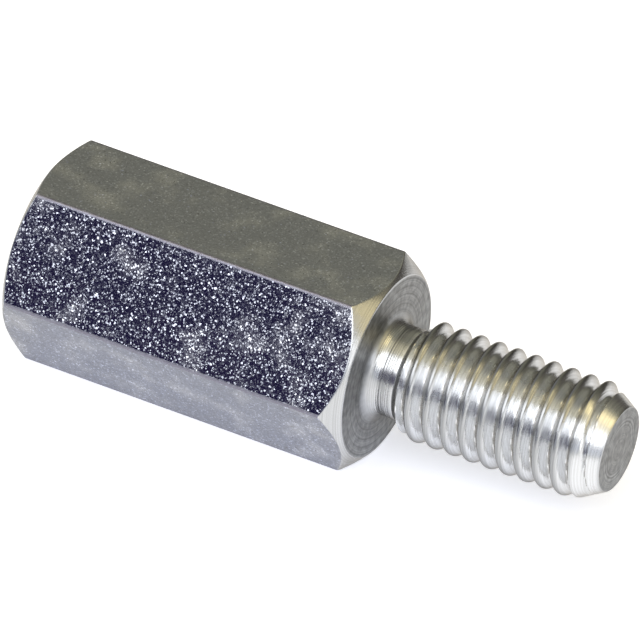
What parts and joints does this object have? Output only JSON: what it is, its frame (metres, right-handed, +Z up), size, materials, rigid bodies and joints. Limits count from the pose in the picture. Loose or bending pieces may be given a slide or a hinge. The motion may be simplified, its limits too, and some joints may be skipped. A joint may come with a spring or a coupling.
{
  "type": "hex standoff",
  "caption": "Hexagonal spacer turned from one bar, with a threaded stud at one end and a tapped blind hole in the other.",
  "frame": {"origin": "under the middle of the part's length, on the surface that it lies on with one flat of the hexagon down", "axes": "+X along the bar's axis from the tapped end to the stud's tip, +Z up, square to the flat that it lies on"},
  "size_m": [0.0252, 0.009, 0.0078],
  "materials": {
    "zinc_steel": "bright zinc plate"
  },
  "bodies": {
    "root": {"standoff": "zinc_steel"}
  },
  "joints": []
}
